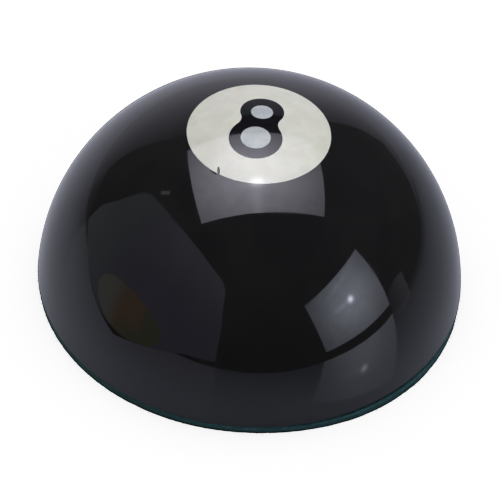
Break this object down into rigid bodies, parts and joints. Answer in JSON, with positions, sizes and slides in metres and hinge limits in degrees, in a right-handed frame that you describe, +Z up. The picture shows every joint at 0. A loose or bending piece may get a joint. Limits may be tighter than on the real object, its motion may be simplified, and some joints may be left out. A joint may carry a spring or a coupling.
{
  "type": "half pool ball marker",
  "caption": "Half of a numbered pool ball in glossy black resin, with an ivory number spot on top and a thin felt pad under its flat cut; rests on a table to mark a pocket.",
  "frame": {"origin": "centre of the felt's underside, where the marker rests; it is also the centre of the whole ball that the marker was cut from", "axes": "+Z up through the pole and the number spot, +Y from the numeral's foot to its head, +X to the numeral's right"},
  "size_m": [0.057, 0.057, 0.0286],
  "materials": {
    "black_resin": "polished cast phenolic resin, mirror gloss with fine handling scratches",
    "ivory_resin": "polished cast phenolic resin, warm ivory",
    "white_resin": "polished cast phenolic resin, cool white",
    "adhesive": "pressure-sensitive adhesive film",
    "teal_felt": "short pressed wool felt"
  },
  "bodies": {
    "root": {"half_ball": "black_resin", "number_disc": "ivory_resin", "numeral_eight": "black_resin", "upper_counter": "white_resin", "lower_counter": "white_resin", "adhesive_film": "adhesive", "felt_pad": "teal_felt"}
  },
  "joints": []
}
